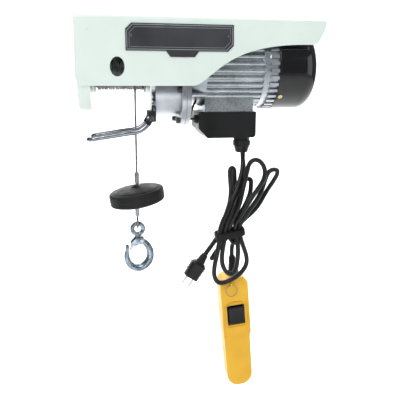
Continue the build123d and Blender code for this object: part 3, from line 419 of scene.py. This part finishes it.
def make_materials():
    """One material for each slot of the CAD nodes, and one for the border of the name plate."""
    return {
        "painted_frame": painted(
            "powder_coat", low=(0.66, 0.75, 0.70), high=(0.71, 0.79, 0.745),
            rough=0.34, grain_scale=900.0, grain_mm=0.03, coat=0.15,
        ),
        "name_plate": painted(
            "plate_print", low=(0.022, 0.024, 0.027), high=(0.045, 0.048, 0.055),
            rough=0.38, grain_scale=1400.0, grain_mm=0.01, coat=0.1,
        ),
        "plate_border": painted(
            "plate_border", low=(0.20, 0.22, 0.24), high=(0.30, 0.33, 0.35),
            rough=0.3, grain_scale=1200.0, grain_mm=0.01, coat=0.2,
        ),
        "polished_steel": metal(
            "turned_steel", low=(0.24, 0.25, 0.26), high=(0.40, 0.41, 0.42),
            rough=0.24, grain_scale=900.0, grain_mm=0.006,
        ),
        "drum_steel": metal(
            "drum_steel", low=(0.26, 0.26, 0.27), high=(0.40, 0.40, 0.41),
            rough=0.45, grain_scale=500.0, grain_mm=0.02,
        ),
        "wire_rope": metal(
            "rope_wire", low=(0.10, 0.10, 0.105), high=(0.30, 0.31, 0.32),
            rough=0.36, grain_scale=2600.0, grain_mm=0.03, stretch=(1, 1, 0.3), patch_scale=180.0,
        ),
        "bronze": metal(
            "bronze", low=(0.52, 0.34, 0.16), high=(0.66, 0.46, 0.24),
            rough=0.38, grain_scale=700.0, grain_mm=0.01,
        ),
        "cast_aluminium": metal(
            "cast_aluminium", low=(0.30, 0.33, 0.36), high=(0.48, 0.51, 0.54),
            rough=0.36, grain_scale=900.0, grain_mm=0.015,
        ),
        "zinc_ring": metal(
            "zinc_plate", low=(0.46, 0.49, 0.52), high=(0.66, 0.69, 0.72),
            rough=0.27, grain_scale=700.0, grain_mm=0.01, stretch=(0.1, 1, 1), patch_scale=40.0,
        ),
        "gasket_paper": moulded(
            "gasket", low=(0.20, 0.11, 0.09), high=(0.28, 0.17, 0.14),
            rough=0.8, grain_scale=1500.0, grain_mm=0.03,
        ),
        "black_steel": painted(
            "black_oxide", low=(0.014, 0.014, 0.015), high=(0.03, 0.03, 0.032),
            rough=0.36, grain_scale=1500.0, grain_mm=0.02,
        ),
        "motor_aluminium": metal(
            "die_cast", low=(0.34, 0.38, 0.40), high=(0.54, 0.58, 0.61),
            rough=0.33, grain_scale=900.0, grain_mm=0.012, stretch=(0.35, 1, 1),
        ),
        "core_iron": metal(
            "laminations", low=(0.16, 0.16, 0.17), high=(0.25, 0.25, 0.26),
            rough=0.5, grain_scale=1200.0, grain_mm=0.05, stretch=(6, 0.2, 0.2),
        ),
        "copper": metal(
            "enamelled_copper", low=(0.50, 0.17, 0.06), high=(0.66, 0.28, 0.12),
            rough=0.3, grain_scale=1500.0, grain_mm=0.08, stretch=(0.1, 1, 1),
        ),
        "brake_lining": moulded(
            "lining", low=(0.10, 0.085, 0.075), high=(0.20, 0.17, 0.15),
            rough=0.85, grain_scale=1600.0, grain_mm=0.06,
        ),
        "fan_plastic": moulded(
            "fan_plastic", low=(0.03, 0.03, 0.032), high=(0.05, 0.05, 0.052),
            rough=0.5, grain_scale=1500.0, grain_mm=0.02,
        ),
        "gloss_black": painted(
            "gloss_enamel", low=(0.002, 0.002, 0.003), high=(0.005, 0.005, 0.007),
            rough=0.09, grain_scale=60.0, grain_mm=0.15, coat=0.2,
        ),
        "brass_screw": metal(
            "yellow_zinc", low=(0.60, 0.50, 0.26), high=(0.78, 0.70, 0.44),
            rough=0.3, grain_scale=900.0, grain_mm=0.01,
        ),
        "black_plastic": moulded(
            "satin_black", low=(0.004, 0.004, 0.0045), high=(0.009, 0.009, 0.010),
            rough=0.42, grain_scale=1300.0, grain_mm=0.03, specular=0.3,
        ),
        "capacitor_can": moulded(
            "capacitor", low=(0.66, 0.66, 0.64), high=(0.72, 0.72, 0.70),
            rough=0.35, grain_scale=900.0, grain_mm=0.01,
        ),
        "chrome_lever": metal(
            "chrome", low=(0.16, 0.18, 0.20), high=(0.32, 0.34, 0.37),
            rough=0.14, grain_scale=300.0, grain_mm=0.01, stretch=(0.3, 1, 1), patch_scale=60.0,
        ),
        "crimp_aluminium": metal(
            "crimp", low=(0.24, 0.25, 0.27), high=(0.42, 0.43, 0.45),
            rough=0.4, grain_scale=800.0, grain_mm=0.03, stretch=(1, 1, 0.3),
        ),
        "black_rubber": moulded(
            "rubber", low=(0.004, 0.004, 0.004), high=(0.009, 0.009, 0.009),
            rough=0.55, grain_scale=700.0, grain_mm=0.05, specular=0.25,
        ),
        "zinc_hook": metal(
            "blue_zinc", low=(0.10, 0.13, 0.16), high=(0.30, 0.36, 0.42),
            rough=0.27, grain_scale=700.0, grain_mm=0.02, patch_scale=90.0,
        ),
        "yellow_plastic": moulded(
            "yellow_abs", low=(0.68, 0.36, 0.006), high=(0.76, 0.43, 0.012),
            rough=0.36, grain_scale=1500.0, grain_mm=0.025,
        ),
        "cable_black": moulded(
            "cable_sheath", low=(0.003, 0.003, 0.0035), high=(0.008, 0.008, 0.009),
            rough=0.38, grain_scale=1100.0, grain_mm=0.02, specular=0.35,
        ),
        "plug_black": moulded(
            "plug_vinyl", low=(0.004, 0.004, 0.0045), high=(0.009, 0.009, 0.010),
            rough=0.44, grain_scale=1000.0, grain_mm=0.03, specular=0.3,
        ),
    }


def dress_cad_nodes(materials):
    """Every CAD node takes the detailed material of its slot."""
    for row in frame["record"]["subparts"]:
        mesh = NODES[row["node"]].data
        mesh.materials.clear()
        mesh.materials.append(materials[row["material_slot"]])


# ---- cords ----
def make_cords(materials):
    sheath = materials["cable_black"]
    pendant_cord = nurbs_curve("pendant_cord", metres(PENDANT_ROUTE), CORD_R)
    pendant_cord.data.materials.append(sheath)
    link(pendant_cord, "root", ("pendant_cable", "cord_hank"))
    supply_cord = nurbs_curve("supply_cord", metres(SUPPLY_ROUTE), CORD_R)
    supply_cord.data.materials.append(sheath)
    link(supply_cord, "root", ("power_cord",))
    return pendant_cord, supply_cord


def rounded_loop(half_x, half_y, corner, per_corner=8):
    """Closed outline of a rounded rectangle, in two coordinates."""
    points = []
    for cx, cy, start in ((1, 1, 0), (-1, 1, 90), (-1, -1, 180), (1, -1, 270)):
        for i in range(per_corner):
            turn = math.radians(start + 90 * i / (per_corner - 1))
            x = cx * (half_x - corner) + corner * math.cos(turn)
            y = cy * (half_y - corner) + corner * math.sin(turn)
            points.append((x, y))
    return points


def make_tie(material):
    """Closed rubber strap round the cords, thicker in the middle than at its edges."""
    place = Matrix.Translation(TIE_CENTRE) @ Matrix.Rotation(TIE_TILT, 4, "Y")
    loops = []
    for out, height in TIE_PROFILE:
        outline = rounded_loop(TIE_HALF_WIDTH + out, TIE_HALF_DEPTH + out, TIE_CORNER_R + out)
        loops.append([place @ Vector((x, y, height)) * MM for x, y in outline])
    count = len(loops[0])
    verts = [p for loop in loops for p in loop]
    faces = []
    for row in range(len(loops)):
        below, above = row * count, ((row + 1) % len(loops)) * count
        for k in range(count):
            faces.append((below + k, below + (k + 1) % count, above + (k + 1) % count, above + k))
    tie = mesh_object("cord_tie", verts, faces, material)
    return link(tie, "root", ("hank_tie",))


def make_plug_details(material):
    """Rings on the plug's flexible neck and finger ridges on its sides."""
    place = Matrix.Translation(PLUG_TOP) @ Matrix.Rotation(PLUG_TURN, 4, "Y")
    rotate = place.to_3x3()
    across, deep = rotate @ Vector((1, 0, 0)), rotate @ Vector((0, 1, 0))
    pieces = []
    for i in range(4):
        drop = 2.5 + 3.6 * i
        radius = 5.3 + 2.3 * drop / 16
        line = ring_points(place @ Vector((0, 0, -drop)), across, deep, radius, 36)
        pieces.append(hoop(f"plug_neck_ring_{i}", [p * MM for p in line], 0.8 * MM, material))
    for side in (-1, 1):
        for i in range(4):
            z = -22.0 - 4.2 * i
            low = (side * PLUG_HALF_WIDTH - 0.8, -6.0, z - 0.9)
            high = (side * PLUG_HALF_WIDTH + 0.5, 6.0, z + 0.9)
            pieces.append(box_mesh(f"plug_ridge_{side + 1}_{i}", low, high, material, 0.4, place))
    for piece in pieces:
        link(piece, "root")
    return pieces


# ---- rope ----
def make_ropes(materials):
    wire = materials["wire_rope"]
    top = Vector((ROPE_X, ROPE_Y, AXIS_Z)) * MM
    bottom = Vector((ROPE_X, ROPE_Y, UPPER_CRIMP_TOP_Z)) * MM
    line = even_line(top, bottom, 180)
    rope = stranded_rope("hoist_rope_strands", line, wire)
    bpy.context.scene.collection.objects.link(rope)
    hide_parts("hoist_rope")
    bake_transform(rope)
    eye = stranded_rope("rope_eye_strands", centre_line(metres(ROPE_EYE_ROUTE), 12), wire)
    link(eye, "hook_block", ("rope_loop",))
    inside_top = Vector((ROPE_X, ROPE_Y, UPPER_CRIMP_FOOT_Z)) * MM
    inside_foot = Vector((ROPE_X, ROPE_Y, LOWER_CRIMP_TOP_Z)) * MM
    inside = even_line(inside_top, inside_foot, 60)
    link(stranded_rope("rope_through_disc", inside, wire), "hook_block")
    return rope, line


def make_winding(materials):
    """Rope laid round the drum in one uneven layer over an older one."""
    wire = materials["wire_rope"]
    turns = (WINDING_END_X - WINDING_START_X) / WINDING_PITCH
    per_turn = 56
    line = []
    for i in range(int(turns * per_turn) + 1):
        turn = 2 * math.pi * i / per_turn
        wander = 0.35 * math.sin(turn * 0.37) + 0.2 * math.sin(turn * 0.113 + 1.0)
        reach = WINDING_REACH + 0.14 * math.sin(turn * 0.53)
        x = WINDING_START_X + WINDING_PITCH * i / per_turn + wander
        line.append(Vector((x, -reach * math.cos(turn), AXIS_Z + reach * math.sin(turn))) * MM)
    winding = stranded_rope("rope_winding", line, wire, 5)
    link(winding, "drum", ("wound_rope",))
    verts, faces = [], []
    sides, rows = 72, 130
    for row in range(rows):
        x = UNDER_LAYER_X + UNDER_LAYER_LENGTH * row / (rows - 1)
        radius = UNDER_LAYER_R + 0.5 * math.cos(2 * math.pi * x / WINDING_PITCH)
        for k in range(sides):
            turn = 2 * math.pi * k / sides
            verts.append(Vector((x, radius * math.cos(turn), AXIS_Z + radius * math.sin(turn))) * MM)
    for row in range(rows - 1):
        for k in range(sides):
            a, b = row * sides + k, row * sides + (k + 1) % sides
            faces.append((a, a + sides, b + sides, b))
    link(mesh_object("rope_under_layer", verts, faces, wire), "drum")


# ---- small details ----
def make_plate_border(material):
    """Two raised border lines on the blank name plate."""
    for name, inset, wire_r in (("plate_border_outer", 2.2, 0.55), ("plate_border_inner", 5.6, 0.3)):
        line = []
        for x, z in PLATE_OUTLINE:
            sx = 1 if x > PLATE_CENTRE.x else -1
            sz = 1 if z > PLATE_CENTRE.y else -1
            line.append(Vector((x - sx * inset, PLATE_FRONT_Y, z - sz * inset)) * MM)
        dense = []
        for a, b in zip(line, line[1:] + line[:1]):
            dense += [a.lerp(b, t / 6) for t in range(6)]
        link(hoop(name, dense, wire_r * MM, material, 8), "root")


def make_disc_lines(material):
    """Moulding lines round the rubber stop's rim and a collar round its bore."""
    tilt = Matrix.Rotation(DISC_TILT, 3, "Y")
    across, deep, up = tilt @ Vector((1, 0, 0)), tilt @ Vector((0, 1, 0)), tilt @ Vector((0, 0, 1))
    for name, radius, height, wire_r in (
        ("disc_rim_line", 44.7, 0.0, 0.45),
        ("disc_top_line", 37.0, 11.5, 0.6),
        ("disc_low_line", 37.0, -11.5, 0.6),
        ("disc_bore_collar", 6.6, 15.6, 1.3),
    ):
        line = [p * MM for p in ring_points(DISC_CENTRE + up * height, across, deep, radius, 96)]
        link(hoop(name, line, wire_r * MM, material), "hook_block")


def make_pendant_details(materials):
    """Rocker bezel, arch round the switch panel, boss for the split ring and a nub at the foot."""
    yellow = materials["yellow_plastic"]
    black = materials["black_plastic"]
    outline = rounded_loop(15.3, 17.9, 2.0)
    bezel = [PENDANT_PLACE @ Vector((x, -17.0, z - ROCKER_DROP)) * MM for x, z in outline]
    link(hoop("rocker_bezel", bezel, 0.6 * MM, black), "root")
    arch = [(ARCH_HALF_WIDTH, z) for z in (ARCH_FOOT_Z, -86.0, ARCH_SPRING_Z)]
    for degrees in range(15, 166, 10):
        turn = math.radians(degrees)
        arch.append((ARCH_HALF_WIDTH * math.cos(turn), ARCH_SPRING_Z + ARCH_RISE * math.sin(turn)))
    arch += [(-x, z) for x, z in reversed(arch[:3])]
    arch_line = [PENDANT_PLACE @ Vector((x, -17.9, z)) * MM for x, z in arch]
    verts, faces = tube_mesh(arch_line, 0.9 * MM, 10)
    link(mesh_object("panel_arch", verts, faces, yellow), "root")
    low, high = (-10.5, -19.4, -5.5), (-1.5, -17.2, -1.5)
    link(box_mesh("ring_boss", low, high, yellow, 0.9, PENDANT_PLACE), "root")
    low, high = (-3.5, -6.0, -211.0), (3.5, 4.0, -204.0)
    link(box_mesh("foot_nub", low, high, yellow, 1.2, PENDANT_PLACE), "root")


def make_split_ring(material):
    """Spring-steel ring of nearly two flat turns."""
    line = []
    for i in range(111):
        turn = math.radians(90 + 6.4 * i)
        depth = 0.95 * (i / 110 - 0.5)
        offset = Vector((SPLIT_RING_R * math.cos(turn), depth, SPLIT_RING_R * math.sin(turn)))
        line.append(PENDANT_PLACE @ (SPLIT_RING_CENTRE + offset) * MM)
    verts, faces = tube_mesh(line, 0.5 * MM, 8)
    link(mesh_object("split_ring_coil", verts, faces, material), "ring", ("split_ring",))


def make_gland_details(material):
    """Ribs round the gland's flexible nose."""
    for i in range(4):
        z = -209.5 - 2.6 * i
        radius = 13.3 - 3.5 * (-207.0 - z) / 12.0
        centre = Vector((GLAND_X, GLAND_Y, z))
        line = ring_points(centre, Vector((1, 0, 0)), Vector((0, 1, 0)), radius, 40)
        link(hoop(f"gland_rib_{i}", [p * MM for p in line], 0.8 * MM, material), "root")


def make_cover_lip(material):
    """Rolled lip on the open end of the fan cover."""
    line = ring_points(COVER_LIP_CENTRE, Vector((0, 1, 0)), Vector((0, 0, 1)), COVER_LIP_R, 120)
    lip = hoop("fan_cover_lip", [p * MM for p in line], 0.9 * MM, material)
    link(lip, "root")


def make_lever_sleeves(material):
    """Black sleeve on each rod of the lever near its pivot."""
    for end, y in LEVER_ROD_Y.items():
        line = metres([(-87.2, y, -158.8), (-89.6, y, -162.6), (-92.0, y, -166.4)])
        verts, faces = tube_mesh(centre_line(line), 4.7 * MM, 20)
        link(mesh_object(f"lever_sleeve_{end}", verts, faces, material), "lever")


# ---- lights and surroundings ----
def area_light(name, place, target, size, power):
    data = bpy.data.lights.new(name, "AREA")
    data.shape = "RECTANGLE"
    data.size, data.size_y = size
    data.energy = power
    light = bpy.data.objects.new(name, data)
    light.location = place
    light.rotation_euler = (Vector(target) - Vector(place)).to_track_quat("-Z", "Y").to_euler()
    bpy.context.scene.collection.objects.link(light)


def make_paper():
    """White studio paper: a floor that bends up into a backdrop."""
    material, tree, shader = new_material("studio_paper")
    tone = ramp(tree, noise(tree, 3.0, 4.0), (0.90, 0.90, 0.90), (0.93, 0.93, 0.93))
    tree.links.new(tone, shader.inputs["Base Color"])
    shader.inputs["Roughness"].default_value = 0.9
    floor_z, half, back, bend = -0.80, 3.0, 2.4, 0.8
    profile = [(-3.0, floor_z)]
    for i in range(13):
        turn = math.radians(90 * i / 12)
        profile.append((back - bend + bend * math.sin(turn), floor_z + bend - bend * math.cos(turn)))
    profile.append((back, 2.6))
    verts, faces = [], []
    for y, z in profile:
        verts += [Vector((-half, y, z)), Vector((half, y, z))]
    for i in range(len(profile) - 1):
        faces.append((2 * i, 2 * i + 1, 2 * i + 3, 2 * i + 2))
    paper = mesh_object("studio_paper", verts, faces, material)
    bpy.context.scene.collection.objects.link(paper)


def make_world():
    world = bpy.data.worlds.new("studio")
    world.use_nodes = True
    background = world.node_tree.nodes["Background"]
    background.inputs["Color"].default_value = (0.95, 0.97, 1.0, 1.0)
    background.inputs["Strength"].default_value = 0.24
    bpy.context.scene.world = world


def make_lights():
    """Soft light from both front sides, above and below, and two lights for the paper alone."""
    target = (0.0, 0.0, -0.25)
    area_light("key", (-0.9, -1.5, 1.1), target, (1.0, 0.8), 24.0)
    area_light("fill", (1.4, -1.2, 0.1), target, (1.2, 1.4), 7.0)
    area_light("top_strip", (0.2, -0.4, 1.3), target, (1.6, 0.3), 6.0)
    area_light("under_strip", (-0.3, -1.1, -0.7), (0.0, 0.0, -0.2), (1.2, 0.3), 2.5)
    area_light("backdrop", (0.0, 0.9, 1.1), (0.0, 2.3, -0.4), (3.0, 0.8), 60.0)
    area_light("floor", (0.0, 0.9, 1.2), (0.0, 0.9, -0.8), (3.0, 1.0), 45.0)


def set_tone():
    """Plain display tone, so the whites and blacks keep their strength."""
    bpy.context.scene.view_settings.view_transform = "Standard"


def main():
    make_camera()
    materials = make_materials()
    pendant_cord, supply_cord = make_cords(materials)
    tie = make_tie(materials["black_rubber"])
    plug_pieces = make_plug_details(materials["plug_black"])
    rope, rope_line = make_ropes(materials)
    make_winding(materials)
    make_plate_border(materials["plate_border"])
    make_disc_lines(materials["black_rubber"])
    make_pendant_details(materials)
    make_split_ring(materials["polished_steel"])
    make_gland_details(materials["black_plastic"])
    make_cover_lip(materials["gloss_black"])
    make_lever_sleeves(materials["black_plastic"])
    dress_cad_nodes(materials)
    make_paper()
    make_world()
    make_lights()
    set_tone()


main()
